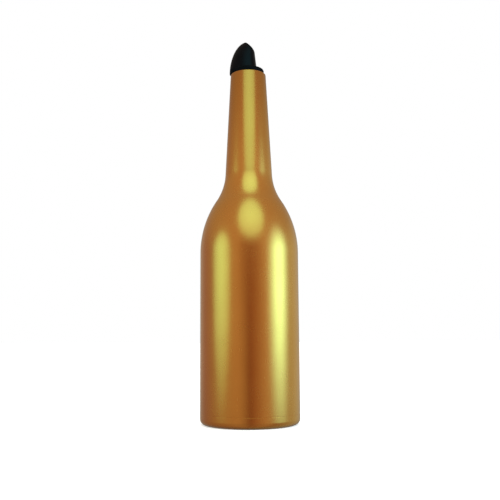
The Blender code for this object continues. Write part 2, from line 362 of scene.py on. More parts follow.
# %% [markdown]
# The pourer is one black moulding: a flange that closes the mouth, a stem that
# holds the cork, and a beak like a bird's bill, cut off on a slant for its mouth.
# The beak is described by two curves, its back and its front, and at any height a
# circle is set between them. The back is a quarter of a superellipse: fuller than
# an ellipse, as on the real one. The thin upright glint on the real beak lies over
# the bottle's axis, not in the middle of the beak, so the circle is drawn out like
# an egg: both sides are pushed forward, and it is widest near the axis.

# %% The shape of the beak
FLANGE_THICKNESS = 0.0039
BEAK_CREST_X = -0.00168
BEAK_CREST_HEIGHT = 0.0267
BEAK_CURVE_START = 0.0017
BEAK_SQUARENESS = 1.85
BEAK_FOOT_LIFT = 0.0006
BEAK_FRONT_X = 0.00732
BEAK_FRONT_DRAFT = 0.112
BEAK_FORWARD = 0.36
BEAK_WALL = 0.0015
MOUTH_HEIGHT = 0.0180
MOUTH_TILT = math.radians(48.4)
HALVINGS = 40

flange_z = rim_z + SEAM_GAP
flange_top_z = flange_z + FLANGE_THICKNESS
beak_back_x = spout_low.x


def beak_section(height, inset=0.0):
    """Centre and radius of the beak at a height, less a wall."""
    start_z = flange_z + BEAK_CURVE_START
    rise = flange_z + BEAK_CREST_HEIGHT - start_z - inset
    share = min(max((height - start_z) / rise, 0.0), 1.0)
    curve = (1.0 - share ** BEAK_SQUARENESS) ** (1.0 / BEAK_SQUARENESS)
    back = BEAK_CREST_X - (BEAK_CREST_X - beak_back_x - inset) * curve
    front = BEAK_FRONT_X - BEAK_FRONT_DRAFT * (height - flange_z) - inset
    return (back + front) / 2, (front - back) / 2


def beak_point(angle, height, inset=0.0):
    """A point on the beak's skin. Angle 0 is the front, under the mouth."""
    centre, radius = beak_section(height, inset)
    side = radius * math.sin(angle)
    forward = BEAK_FORWARD * side * math.sin(angle)
    return Vector((centre + radius * math.cos(angle) + forward, side, height))


mouth_centre, mouth_radius = beak_section(flange_z + MOUTH_HEIGHT)
mouth_edge = Vector((mouth_centre + mouth_radius, 0.0, flange_z + MOUTH_HEIGHT))
mouth_normal = Vector((math.sin(MOUTH_TILT), 0.0, math.cos(MOUTH_TILT)))


def mouth_height(angle, inset=0.0):
    """Height at which a line up the beak's skin meets the slanted mouth.

    The stretch that holds the meeting point is halved again and again.
    """
    low = flange_top_z
    high = flange_z + BEAK_CREST_HEIGHT - inset
    for _ in range(HALVINGS):
        middle = (low + high) / 2
        if (beak_point(angle, middle, inset) - mouth_edge).dot(mouth_normal) < 0:
            low = middle
        else:
            high = middle
    return low


print(f"the beak's lip runs from {1000 * mouth_height(0.0):.1f} to "
      f"{1000 * mouth_height(math.pi):.1f} mm")

# %% [markdown]
# Two small things stand out from the beak's skin. Where the beak stands on the
# flange, the outside flares out in a small fillet, as plastic always does in such
# a corner. It fades out toward the back, where the beak comes out to the flange's
# edge. And where the two halves of the mould met, front and back, they left a ridge
# as fine as a hair.

# %% Small details of the beak's skin
FOOT_FILLET = 0.0007
FILLET_SINK = 0.12
FILLET_REACH = 0.35
FILLET_FADE = 0.4
MOULD_LINE_PROUD = 0.00005
MOULD_LINE_WIDTH = math.radians(2.0)
MOULD_LINE_FADE = 8


def foot_flare(angle, height):
    """How far the fillet at the beak's foot stands out from its skin."""
    over_flange = max(0.0, min(1.0, (math.cos(angle) + FILLET_REACH) / FILLET_FADE))
    above = max(0.0, height - flange_top_z + FILLET_SINK * FOOT_FILLET)
    if above >= FOOT_FILLET:
        return 0.0
    bend = 1 - above / FOOT_FILLET
    return over_flange * FOOT_FILLET * (1 - math.sqrt(1 - bend ** 2))


def mould_line(angle):
    """The faint ridge where the two halves of the mould met, front and back."""
    away = math.asin(min(1.0, abs(math.sin(angle))))
    return MOULD_LINE_PROUD * math.exp(-(away / MOULD_LINE_WIDTH) ** 2)


print(f"the fillet stands out by {1000 * foot_flare(0.0, flange_top_z):.2f} mm at the flange")

# %% [markdown]
# The beak is made as one skin of lines: up the outside, over a rounded lip, down
# the inside, through the funnel and into the pouring bore. Each line has the same
# number of points, so neighbouring lines join up in plain four sided faces and the
# whole moulding shades smoothly.

# %% Lines of the beak
POURER_STEPS = 144
LINE_STEPS = 160
OUTER_COUNT = 40
INNER_COUNT = 28
LIP_ROUND = 0.00045
LIP_STEPS = 5
LIP_MARGIN = 0.0011
POUR_BORE_RADIUS = 0.0037
POUR_BORE_X = -0.0023
FUNNEL_FLOOR = 0.0016
FUNNEL_SHARES = (0.33, 0.67)
FUNNEL_ROUND = 0.0004
FUNNEL_STEPS = 3
BORE_OVERLAP = 0.0003


def spaced_evenly(points, count, short_of_end):
    """Points at even steps along a line, stopping a little short of its end."""
    lengths = [0.0]
    for here, after in zip(points, points[1:]):
        lengths.append(lengths[-1] + (after - here).length)
    reach = lengths[-1] - short_of_end
    chosen = []
    index = 0
    for step in range(count):
        wanted = reach * step / (count - 1)
        while lengths[index + 1] < wanted:
            index += 1
        share = (wanted - lengths[index]) / (lengths[index + 1] - lengths[index])
        chosen.append(points[index].lerp(points[index + 1], share))
    return chosen


def outer_line(angle):
    """Close points up the outside of the beak, from its foot to the lip."""
    foot_z = flange_z + BEAK_FOOT_LIFT
    top_z = mouth_height(angle)
    outward = Vector((math.cos(angle), math.sin(angle), 0.0))
    points = []
    for step in range(LINE_STEPS + 1):
        rise = math.sin(math.pi / 2 * step / LINE_STEPS)
        height = foot_z + (top_z - foot_z) * rise
        ridge = mould_line(angle) * min(1.0, MOULD_LINE_FADE * (1 - rise))
        points.append(beak_point(angle, height) + outward * (foot_flare(angle, height) + ridge))
    return points


def inner_line(angle):
    """Close points up the inside, from the flange's top face to the lip."""
    top_z = mouth_height(angle, BEAK_WALL)
    points = []
    for step in range(LINE_STEPS + 1):
        rise = math.sin(math.pi / 2 * step / LINE_STEPS)
        points.append(beak_point(angle, flange_top_z + (top_z - flange_top_z) * rise, BEAK_WALL))
    return points


def beak_line(angle):
    """One whole line of the skin, from the outer foot round to the bore's end."""
    outside = outer_line(angle)
    inside = inner_line(angle)
    lip_out, lip_in = outside[-1], inside[-1]
    line = spaced_evenly(outside, OUTER_COUNT, LIP_MARGIN)
    line += corner_round(lip_out, line[-1] - lip_out, lip_in - lip_out, LIP_ROUND, LIP_STEPS)
    rest = spaced_evenly(inside, INNER_COUNT, LIP_MARGIN)
    rest.reverse()
    line += corner_round(lip_in, lip_out - lip_in, rest[0] - lip_in, LIP_ROUND, LIP_STEPS)
    line += rest
    bore = Vector((math.cos(angle), math.sin(angle), 0.0)) * POUR_BORE_RADIUS
    bore.x += POUR_BORE_X
    funnel_end = bore + Vector((0.0, 0.0, flange_z + FUNNEL_FLOOR))
    bore_end = bore + Vector((0.0, 0.0, flange_z + BORE_OVERLAP))
    line += [rest[-1].lerp(funnel_end, share) for share in FUNNEL_SHARES]
    line += corner_round(funnel_end, rest[-1] - funnel_end, bore_end - funnel_end,
                         FUNNEL_ROUND, FUNNEL_STEPS)
    line.append(bore_end)
    return line


first_line = beak_line(0.0)
print(f"each line of the beak has {len(first_line)} points")

# %% [markdown]
# Lines that all have the same count of points make a skin with two loops of open
# edges, at the outer foot and at the end of the bore. A last ring of faces joins
# those two, under the flange where no one sees it, and the skin is closed. A
# closed skin is what the Boolean modifier needs to weld the beak to the flange.


# %% Close the beak's skin
def object_from(name, shape):
    """A new object with the shape that was built in a bmesh."""
    mesh = bpy.data.meshes.new(name)
    shape.to_mesh(mesh)
    shape.free()
    return add_object(name, mesh)


def join_lines(name, lines):
    """A closed ring-shaped skin through lines that run side by side."""
    shape = bmesh.new()
    columns = [[shape.verts.new(point) for point in line] for line in lines]
    for here, after in zip(columns, columns[1:] + columns[:1]):
        for index in range(len(here)):
            above = (index + 1) % len(here)
            shape.faces.new((here[index], after[index], after[above], here[above]))
    bmesh.ops.recalc_face_normals(shape, faces=shape.faces)
    return object_from(name, shape)


beak_angles = [math.tau * step / POURER_STEPS for step in range(POURER_STEPS)]
beak = join_lines("beak", [beak_line(angle) for angle in beak_angles])
print(f"{beak.name}: {len(beak.data.polygons)} faces in a closed skin")

# %% [markdown]
# The flange, the collar that centres it in the mouth, the stem and the bead at
# the stem's end are turned in one piece. The bead is a little wider than the
# stem, because it has to keep the cork from sliding off. The flange's top is then
# made one flat face. The beak will stand on it, and where its foot crossed the
# radial edges of many faces, the Boolean would leave slivers.

# %% Turn the flange and the stem
FLANGE_ROUND = 0.0012
INNER_ROUND = 0.0003
OUTER_ROUND = 0.0002
COLLAR_CLEARANCE = 0.00045
COLLAR_LENGTH = 0.0050
COLLAR_ROUND = 0.0005
STEM_RADIUS = 0.0068
STEM_CLEARANCE = 0.0003
BEAD_HEIGHT = 0.0028
BEAD_PROUD = 0.0007
BEAD_ROUND = 0.0004
STEM_END_ROUND = 0.0008

flange_radius = spout_high.x
stem_bottom_z = spout_low.z


def stem_outline():
    """Top face of the flange, down the outside to the end of the stem."""
    collar_radius = BORE_RADIUS - COLLAR_CLEARANCE
    collar_z = flange_z - COLLAR_LENGTH
    bead_radius = STEM_RADIUS + STEM_CLEARANCE + BEAD_PROUD
    bead_z = stem_bottom_z + BEAD_HEIGHT
    corners = [
        (0.0, flange_top_z, 0.0),
        (flange_radius, flange_top_z, FLANGE_ROUND),
        (flange_radius, flange_z, OUTER_ROUND),
        (collar_radius, flange_z, INNER_ROUND),
        (collar_radius, collar_z, COLLAR_ROUND),
        (STEM_RADIUS, collar_z, INNER_ROUND),
        (STEM_RADIUS, bead_z, OUTER_ROUND),
        (bead_radius, bead_z, BEAD_ROUND),
        (bead_radius, stem_bottom_z, STEM_END_ROUND),
        (0.0, stem_bottom_z, 0.0),
    ]
    return soften(corners)


def join_level_faces(piece, height):
    """Make the level faces at one height a single face."""
    shape = bmesh.new()
    shape.from_mesh(piece.data)
    level = [face for face in shape.faces
             if all(abs(vert.co.z - height) < WELD_DISTANCE for vert in face.verts)]
    bmesh.ops.dissolve_faces(shape, faces=level, use_verts=True)
    shape.to_mesh(piece.data)
    shape.free()
    print(f"{piece.name}: {len(level)} level faces made one")


beak_spout = turn_outline("beak_spout", stem_outline(), POURER_STEPS)
join_level_faces(beak_spout, flange_top_z)

# %% [markdown]
# Four cutters open the passages: the pouring bore up the stem, a hollow under the
# beak that the beak's own wall and funnel then line, the socket of the air tube,
# and the slanted vent that lets air in through the flange while the bottle pours.
# The first two are a shade wider than the beak's lining, so that no two surfaces
# lie on each other, which is what upsets a Boolean. Three of them are drilled
# straight, and the hollow follows the section of the beak.

# %% Cutters for the passages
LINING_OVERLAP = 0.0003
BORE_SLACK = 0.00005
CUTTER_STEPS = 48
VENT_RADIUS = 0.0009
VENT_X = 0.0093
TUBE_CLEARANCE = 0.0003
TUBE_SOCKET_HEIGHT = 0.0007

tube_x = (tube_low.x + tube_high.x) / 2
tube_radius = (tube_high.y - tube_low.y) / 2
socket_z = flange_z - COLLAR_LENGTH + TUBE_SOCKET_HEIGHT


def drill(name, start, end, radius):
    """A round cutter from one point to another."""
    direction = end - start
    shape = bmesh.new()
    bmesh.ops.create_cone(
        shape, cap_ends=True, segments=CUTTER_STEPS, depth=direction.length,
        radius1=radius, radius2=radius,
    )
    turn = direction.to_track_quat("Z", "Y").to_matrix().to_4x4()
    place = Matrix.Translation((start + end) / 2)
    bmesh.ops.transform(shape, matrix=place @ turn, verts=shape.verts)
    return object_from(name, shape)


def hollow_under_beak():
    """A plain skin just outside the beak's funnel, closed at both ends."""
    lining = BEAK_WALL - LINING_OVERLAP
    bore_radius = POUR_BORE_RADIUS + LINING_OVERLAP
    floor_z = flange_z + FUNNEL_FLOOR - LINING_OVERLAP
    lift = Vector((0.0, 0.0, BEAK_WALL))
    foot = [Vector((POUR_BORE_X + bore_radius * math.cos(angle), bore_radius * math.sin(angle),
                    floor_z)) for angle in beak_angles]
    top = [beak_point(angle, flange_top_z, lining) for angle in beak_angles]
    over = [point + lift for point in top]
    shape = bmesh.new()
    loops = [[shape.verts.new(point) for point in ring] for ring in (foot, top, over)]
    for low, high in zip(loops, loops[1:]):
        for step in range(POURER_STEPS):
            after = (step + 1) % POURER_STEPS
            shape.faces.new((low[step], low[after], high[after], high[step]))
    shape.faces.new(list(reversed(loops[0])))
    shape.faces.new(loops[-1])
    return object_from("hollow_under_beak", shape)


below_z = stem_bottom_z - BEAD_HEIGHT
vent_foot = Vector((tube_x, 0.0, socket_z - VENT_RADIUS))
vent_head = Vector((VENT_X, 0.0, flange_top_z))
vent_way = (vent_head - vent_foot).normalized()
cutters = [
    drill("pour_drill", Vector((POUR_BORE_X, 0.0, below_z)),
          Vector((POUR_BORE_X, 0.0, flange_top_z)), POUR_BORE_RADIUS + BORE_SLACK),
    hollow_under_beak(),
]
late_cutters = [
    drill("socket_drill", Vector((tube_x, 0.0, below_z)),
          Vector((tube_x, 0.0, socket_z)), tube_radius + TUBE_CLEARANCE),
    drill("vent_drill", vent_foot, vent_head + vent_way * 2 * VENT_RADIUS, VENT_RADIUS),
]
print("cutters:", ", ".join(cutter.name for cutter in cutters + late_cutters))

# %% [markdown]
# The order of the cuts matters. The bore and the hollow come before the weld,
# because the beak's skin then lines them. The socket and the vent come after it,
# so that they go through the finished moulding. The cutters are removed once the
# modifiers have become mesh.


# %% Cut the passages and weld on the beak
def combine(piece, other, operation):
    """Cut the other shape out of the piece, or weld it on."""
    boolean = piece.modifiers.new(operation.lower(), "BOOLEAN")
    boolean.operation = operation
    boolean.solver = "EXACT"
    boolean.object = other


for cutter in cutters:
    combine(beak_spout, cutter, "DIFFERENCE")
combine(beak_spout, beak, "UNION")
for cutter in late_cutters:
    combine(beak_spout, cutter, "DIFFERENCE")
finish_mesh(beak_spout)
for helper in cutters + late_cutters + [beak]:
    bpy.data.objects.remove(helper)
print(f"beak_spout: {len(beak_spout.data.polygons)} faces")

# %% [markdown]
# The cork of a pourer is a soft sleeve with rings of fins that bend as it is
# pushed home. Each fin is square on top and slants away below, so it slides in
# easily and holds on the way out. Soft mouldings have full, round tips.

# %% Turn the cork
CORK_WALL = 0.0013
FIN_COUNT = 5
FIN_PITCH = 0.0048
FIN_TIP = 0.0008
FIN_TIP_ROUND = 0.00035
FIN_ROOT = 0.0028
FIN_ROOT_ROUND = 0.0004
CORK_ROUND = 0.0002
CORK_TOP_ROUND = 0.0001


def cork_outline():
    """Down the fins on the outside and up the plain bore."""
    inner_radius = STEM_RADIUS + STEM_CLEARANCE
    core_radius = inner_radius + CORK_WALL
    tip_radius = cork_high.x
    length = cork_high.z - cork_low.z
    fins_top = cork_high.z - (length - (FIN_COUNT - 1) * FIN_PITCH - FIN_ROOT) / 2
    corners = [
        (inner_radius, cork_high.z, CORK_ROUND),
        (core_radius, cork_high.z, CORK_TOP_ROUND),
    ]
    for fin in range(FIN_COUNT):
        top = fins_top - fin * FIN_PITCH
        corners += [
            (core_radius, top, CORK_ROUND if fin else 0.0),
            (tip_radius, top, FIN_TIP_ROUND),
            (tip_radius, top - FIN_TIP, FIN_TIP_ROUND),
            (core_radius, top - FIN_ROOT, FIN_ROOT_ROUND),
        ]
    corners += [(core_radius, cork_low.z, CORK_ROUND), (inner_radius, cork_low.z, CORK_ROUND)]
    return soften(corners)


cork_sleeve = turn_outline("cork_sleeve", cork_outline(), POURER_STEPS)

# %% [markdown]
# The air tube is a short length of extruded tube, pushed into its socket in the
# stem. Its ends are cut square and deburred, so only the edges need a round.

# %% Turn the air tube
TUBE_BORE_RADIUS = 0.0009
TUBE_EDGE = 0.00015
TUBE_EDGE_STEPS = 3
TUBE_TURN_STEPS = 48


def tube_outline():
    """Outer wall down, inner wall up."""
    corners = [
        (TUBE_BORE_RADIUS, tube_high.z, TUBE_EDGE),
        (tube_radius, tube_high.z, TUBE_EDGE),
        (tube_radius, tube_low.z, TUBE_EDGE),
        (TUBE_BORE_RADIUS, tube_low.z, TUBE_EDGE),
    ]
    return soften(corners, TUBE_EDGE_STEPS)


air_tube = turn_outline("air_tube", tube_outline(), TUBE_TURN_STEPS)
air_tube.location.x = tube_x

# %% [markdown]
# Each finished piece now takes the place of its solid and rides on the body that
# the solid belongs to, so that it moves as the joints do. The shell and the base
# are one body. The cork slides out of the neck, and the spout turns in the cork
# and takes the air tube with it.

# %% Put the pieces on their bodies
PLACES = (
    (gold_shell, "bottle", "bottle_shell", "gold_lacquer"),
    (gold_base, "bottle", "base_cup", "gold_lacquer"),
    (beak_spout, "spout", "pourer_spout", "black_plastic"),
    (cork_sleeve, "cork", "pourer_cork", "black_rubber"),
    (air_tube, "spout", "breather_tube", "natural_plastic"),
)
for piece, body, solid, slot in PLACES:
    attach(piece, body)
    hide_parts(solid)
    print(f"{piece.name} stands for {solid} and rides on {body}")

# %% [markdown]
# A finish is a small network of nodes that ends in one Principled shader. The first
# helpers add a node and fill its sockets, and start and end a finish. Every pattern
# is placed by the object's own coordinates, in metres, so the height of a point is
# its Z. A pattern on stretched coordinates is drawn out along the bottle.


# %% Start and end a finish
def add_node(tree, kind, inputs=None, **settings):
    """Add a node. Its inputs are values, or other nodes' sockets to link."""
    made = tree.nodes.new(kind)
    for name, value in settings.items():
        setattr(made, name, value)
    for name, value in (inputs or {}).items():
        if isinstance(value, bpy.types.NodeSocket):
            tree.links.new(value, made.inputs[name])
        else:
            made.inputs[name].default_value = value
    return made


def start_finish(name):
    """A new material, its node tree, its shader and the object's coordinates."""
    material = bpy.data.materials.new(name)
    material.use_nodes = True
    tree = material.node_tree
    place = add_node(tree, "ShaderNodeTexCoord").outputs["Object"]
    return material, tree, tree.nodes["Principled BSDF"], place


def end_finish(material, shader, colour, roughness, normal):
    """Link the three patterns of a finish to its shader."""
    tree = material.node_tree
    tree.links.new(colour, shader.inputs["Base Color"])
    tree.links.new(roughness, shader.inputs["Roughness"])
    tree.links.new(normal, shader.inputs["Normal"])
    print(f"{material.name}: {len(tree.nodes)} nodes")


def height_of(tree, place):
    """The height of a point above the standing face."""
    return add_node(tree, "ShaderNodeSeparateXYZ", {0: place}).outputs["Z"]


def stretched(tree, place, share, lean=(0.0, 0.0, 0.0)):
    """Coordinates that draw a pattern out along the height, leant by small angles."""
    made = add_node(tree, "ShaderNodeMapping", {
        "Vector": place, "Scale": (1.0, 1.0, share), "Rotation": lean,
    })
    return made.outputs["Vector"]


# %% [markdown]
# The next helpers make what every finish is mixed from: noise, the spreading of a
# pattern over other values, mixes of colours, sums and bumps. A noise of scale
# 1000 has marks about a millimetre apart, and the depth of a bump is in metres, so
# both can be thought of as real sizes.


# %% Patterns, mixes, sums and bumps
def noise(tree, place, scale, detail=2.0, roughness=0.5):
    """A soft random pattern from 0 to 1."""
    made = add_node(tree, "ShaderNodeTexNoise", {
        "Vector": place, "Scale": scale, "Detail": detail, "Roughness": roughness,
    })
    return made.outputs["Fac"]


def spread(tree, pattern, low, high, to_low, to_high):
    """Carry the part of a pattern between two values over to two new ones."""
    made = add_node(tree, "ShaderNodeMapRange", {
        "Value": pattern, "From Min": low, "From Max": high,
        "To Min": to_low, "To Max": to_high,
    })
    return made.outputs["Result"]


def mix_colours(tree, share, first, second):
    """Go from the first colour to the second as the share grows."""
    made = add_node(tree, "ShaderNodeMix", data_type="RGBA")
    tree.links.new(share, made.inputs["Factor"])
    for socket, colour in ((made.inputs[6], first), (made.inputs[7], second)):
        if isinstance(colour, bpy.types.NodeSocket):
            tree.links.new(colour, socket)
        else:
            socket.default_value = (*colour, 1.0)
    return made.outputs[2]


def sum_of(tree, first, second, operation="ADD"):
    """Two patterns added, or put together by another sum."""
    made = add_node(tree, "ShaderNodeMath", {0: first, 1: second}, operation=operation)
    return made.outputs["Value"]


def bump(tree, height, depth, normal=None):
    """A bump whose full height is a real depth, in metres."""
    inputs = {"Height": height, "Distance": depth, "Strength": 1.0}
    if normal:
        inputs["Normal"] = normal
    return add_node(tree, "ShaderNodeBump", inputs).outputs["Normal"]


# %% [markdown]
# The lacquer is a metallic paint: fine metal flake in a clear gold binder, sprayed
# on and baked. It mirrors the room softly, because the flakes don't all lie flat, and
# for the same reason it scatters a little light, so it isn't set to pure metal.
# Three patterns give it life: long, lazy waves of the moulded wall beneath, the
# orange peel of a sprayed coat, and the flake itself, a tenth of a millimetre
# across. Handling leaves hairline rubs, which are duller than the paint. Toward the
# top of the neck the gold is painted darker, a painted shade that dims the long
# highlight there. The coat wears thin first where the bottle knocks the bar, low on
# the base, and round the rim. The corner that it stands on gets a dark band of
# painted shade, for the shade it would mirror where it meets the floor.

# %% Gold lacquer
GOLD = (0.93, 0.43, 0.097)
GOLD_DEEP = (0.89, 0.40, 0.087)
GOLD_FLAKE = (1.0, 0.56, 0.16)
# painted shade: a darker gold toward the top of the neck
GOLD_NECK_SHADE = (0.68, 0.29, 0.065)
GOLD_WORN = (0.62, 0.31, 0.10)
# painted shade: a dark band on the corner that the bottle stands on
GOLD_CORNER_SHADE = (0.30, 0.19, 0.10)
GOLD_METALLIC = 0.90
GOLD_ROUGHNESS = (0.25, 0.28)
RUB_DULLER = 0.03
WORN_DULLER = 0.16
CLOUD_SCALE = 26
HAZE_SCALE = 60
FLAKE_SCALE = 9000
FLAKE_SHARE = 0.08
FLAKE_DEPTH = 0.0000001
WAVE_SCALE = 55
WAVE_DEPTH = 0.00003
PEEL_SCALE = 760
PEEL_DEPTH = 0.0000008
RUB_SCALE = 1500
RUB_STRETCH = 0.035
RUB_LEAN = (0.24, 0.31, 0.0)
WORN_SCALE = 420
WORN_SHARE = 0.8
WORN_FOOT = (0.0003, 0.0028)
WORN_RIM = (0.0012, 0.0001)
NECK_SHADE_LENGTH = 0.075
CORNER_SHADE_RANGE = (0.0002, 0.0026)
CORNER_SHADE_SHARE = 0.85


def gold_colour(tree, place, flake, worn):
    """The gold from cloud to cloud and flake to flake, then its wear, and painted shade at the
    neck's top and the standing corner.
    """
    clouds = spread(tree, noise(tree, place, CLOUD_SCALE, 3.0), 0.35, 0.65, 0.0, 1.0)
    colour = mix_colours(tree, clouds, GOLD_DEEP, GOLD)
    glints = spread(tree, flake, 0.0, 0.9, 0.0, FLAKE_SHARE)
    colour = mix_colours(tree, glints, colour, GOLD_FLAKE)
    height = height_of(tree, place)
    # painted shade, darker toward the top of the neck
    neck_shade = spread(tree, height, rim_z - NECK_SHADE_LENGTH, rim_z, 0.0, 1.0)
    colour = mix_colours(tree, neck_shade, colour, GOLD_NECK_SHADE)
    colour = mix_colours(tree, worn, colour, GOLD_WORN)
    # painted shade on the corner that the bottle stands on
    corner_shade = spread(tree, height, *CORNER_SHADE_RANGE, CORNER_SHADE_SHARE, 0.0)
    return mix_colours(tree, corner_shade, colour, GOLD_CORNER_SHADE)


def worn_edges(tree, place):
    """Patches of thin paint at the foot and round the rim."""
    height = height_of(tree, place)
    foot = spread(tree, height, *WORN_FOOT, 1.0, 0.0)
    rim = spread(tree, height, *(rim_z - below for below in WORN_RIM), 0.0, 1.0)
    patches = spread(tree, noise(tree, place, WORN_SCALE, 4.0, 0.65), 0.46, 0.68, 0.0, WORN_SHARE)
    return sum_of(tree, sum_of(tree, foot, rim, "MAXIMUM"), patches, "MULTIPLY")


def gold_lacquer():
    """Metallic gold paint on plastic, with rubs and worn edges."""
    material, tree, shader, place = start_finish("gold_lacquer")
    flake = add_node(tree, "ShaderNodeTexVoronoi", {"Vector": place, "Scale": FLAKE_SCALE})
    flake = flake.outputs["Distance"]
    worn = worn_edges(tree, place)
    colour = gold_colour(tree, place, flake, worn)
    along = stretched(tree, place, RUB_STRETCH, RUB_LEAN)
    rubs = spread(tree, noise(tree, along, RUB_SCALE, 3.0, 0.7), 0.66, 0.74, 0.0, RUB_DULLER)
    haze = noise(tree, place, HAZE_SCALE, 4.0, 0.6)
    roughness = sum_of(tree, spread(tree, haze, 0.3, 0.7, *GOLD_ROUGHNESS), rubs)
    roughness = sum_of(tree, roughness, sum_of(tree, worn, WORN_DULLER, "MULTIPLY"))
    normal = bump(tree, noise(tree, place, WAVE_SCALE, 1.0), WAVE_DEPTH)
    normal = bump(tree, noise(tree, place, PEEL_SCALE, 2.0), PEEL_DEPTH, normal)
    normal = bump(tree, flake, FLAKE_DEPTH, normal)
    end_finish(material, shader, colour, roughness, normal)
    shader.inputs["Metallic"].default_value = GOLD_METALLIC
    return material


gold = gold_lacquer()

# %% [markdown]
# The pourer is black plastic from a mould with a fine spark-eroded skin. Its sheen
# is low, even and cool in colour. Plastic fingered all day goes a little glossier in
# patches, and dust sits on it as faint grey specks. Nobody's thumb rubs the flange
# and the stem, so they stay as dull as they left the mould.

# %% Black plastic
BLACK = (0.0012, 0.0014, 0.0024)
BLACK_WORN = (0.0040, 0.0043, 0.0052)
DUST = (0.020, 0.020, 0.021)
BLACK_SPECULAR = 0.14
BLACK_SHEEN = (0.60, 0.72, 1.0)
BLACK_ROUGHNESS = (0.34, 0.43)
STEM_DULLER = 0.30
DULL_UP_TO = (flange_top_z - 0.0002, flange_top_z + 0.0005)
SHINY_SCALE = 170
DUST_SCALE = 5200
GRAIN_SCALE = 3200
GRAIN_DEPTH = 0.000006
SWELL_SCALE = 260
SWELL_DEPTH = 0.00001


def black_plastic():
    """Moulded black plastic with a fine texture and softly rubbed patches."""
    material, tree, shader, place = start_finish("black_plastic")
    patches = noise(tree, place, SHINY_SCALE, 3.0, 0.6)
    specks = spread(tree, noise(tree, place, DUST_SCALE, 1.0), 0.70, 0.76, 0.0, 0.5)
    colour = mix_colours(tree, spread(tree, patches, 0.4, 0.75, 0.0, 0.5), BLACK, BLACK_WORN)
    colour = mix_colours(tree, specks, colour, DUST)
    duller = spread(tree, height_of(tree, place), *DULL_UP_TO, STEM_DULLER, 0.0)
    roughness = sum_of(tree, spread(tree, patches, 0.3, 0.7, *BLACK_ROUGHNESS), duller)
    normal = bump(tree, noise(tree, place, GRAIN_SCALE, 2.0), GRAIN_DEPTH)
    normal = bump(tree, noise(tree, place, SWELL_SCALE, 1.0), SWELL_DEPTH, normal)
    end_finish(material, shader, colour, roughness, normal)
    shader.inputs["Specular IOR Level"].default_value = BLACK_SPECULAR
    shader.inputs["Specular Tint"].default_value = (*BLACK_SHEEN, 1.0)
    return material


black = black_plastic()

# %% [markdown]
# The cork is a soft black rubber. It hardly shines at all, and where a fin's tip
# has rubbed in the neck it turns grey. Its own coordinates say how far from the
# axis a point lies, so the grey can be kept to the tips.

# %% Black rubber
RUBBER = (0.016, 0.016, 0.017)
RUBBER_RUBBED = (0.055, 0.053, 0.050)
RUBBER_ROUGHNESS = (0.68, 0.84)
RUBBER_SPECULAR = 0.3
RUBBED_DEPTH = 0.0007
MOTTLE_SCALE = 700
RUBBER_GRAIN_SCALE = 2100
RUBBER_GRAIN_DEPTH = 0.000012


def black_rubber():
    """Matte rubber, greyed at the tips of the fins."""
    material, tree, shader, place = start_finish("black_rubber")
    parts = add_node(tree, "ShaderNodeSeparateXYZ", {0: place})
    flat = add_node(tree, "ShaderNodeCombineXYZ", {0: parts.outputs["X"], 1: parts.outputs["Y"]})
    away = add_node(tree, "ShaderNodeVectorMath", {0: flat.outputs[0]}, operation="LENGTH")
    tips = spread(tree, away.outputs["Value"], cork_high.x - RUBBED_DEPTH, cork_high.x, 0.0, 1.0)
    mottle = spread(tree, noise(tree, place, MOTTLE_SCALE, 4.0, 0.65), 0.35, 0.7, 0.15, 1.0)
    colour = mix_colours(tree, sum_of(tree, tips, mottle, "MULTIPLY"), RUBBER, RUBBER_RUBBED)
    roughness = spread(tree, mottle, 0.15, 1.0, *RUBBER_ROUGHNESS)
    normal = bump(tree, noise(tree, place, RUBBER_GRAIN_SCALE, 3.0, 0.6), RUBBER_GRAIN_DEPTH)
    end_finish(material, shader, colour, roughness, normal)
    shader.inputs["Specular IOR Level"].default_value = RUBBER_SPECULAR
    return material


rubber = black_rubber()

# %% [markdown]
# Uncoloured tube of this kind is milky: light goes in, wanders and comes out
# again. Subsurface scattering over half a millimetre gives that look. Extrusion
# drags faint lines along the tube, so its noise is stretched along Z.

# %% Milky tube
MILKY = (0.68, 0.66, 0.59)
MILKY_CLOUD = (0.59, 0.57, 0.49)
MILKY_ROUGHNESS = (0.30, 0.46)
MILKY_CLOUD_SCALE = 240
LINE_SCALE = 2600
LINE_STRETCH = 0.02
LINE_DEPTH = 0.000012
SCATTER_SHARE = 0.4
SCATTER_DEPTH = 0.0005
SCATTER_COLOURS = (1.0, 0.95, 0.85)


def milky_plastic():
    """Natural extruded plastic with lines along it."""
    material, tree, shader, place = start_finish("natural_plastic")
    lines = noise(tree, stretched(tree, place, LINE_STRETCH), LINE_SCALE, 3.0)
    clouds = spread(tree, noise(tree, place, MILKY_CLOUD_SCALE, 2.0), 0.3, 0.7, 0.0, 1.0)
    colour = mix_colours(tree, clouds, MILKY, MILKY_CLOUD)
    roughness = spread(tree, lines, 0.3, 0.7, *MILKY_ROUGHNESS)
    end_finish(material, shader, colour, roughness, bump(tree, lines, LINE_DEPTH))
    shader.inputs["Subsurface Weight"].default_value = SCATTER_SHARE
    shader.inputs["Subsurface Radius"].default_value = SCATTER_COLOURS
    shader.inputs["Subsurface Scale"].default_value = SCATTER_DEPTH
    return material


milky = milky_plastic()

# %% [markdown]
# A finish is given by putting its material on the piece's own mesh. The shell and
# the base were sprayed together after the weld, so they share one material, and
# its clouds and rubs run across the seam without a break.

# %% Give each piece its finish
FINISHES = (
    (gold_shell, gold),
    (gold_base, gold),
    (beak_spout, black),
    (cork_sleeve, rubber),
    (air_tube, milky),
)
for piece, material in FINISHES:
    piece.data.materials.clear()
    piece.data.materials.append(material)
    print(f"{piece.name} wears {material.name}")

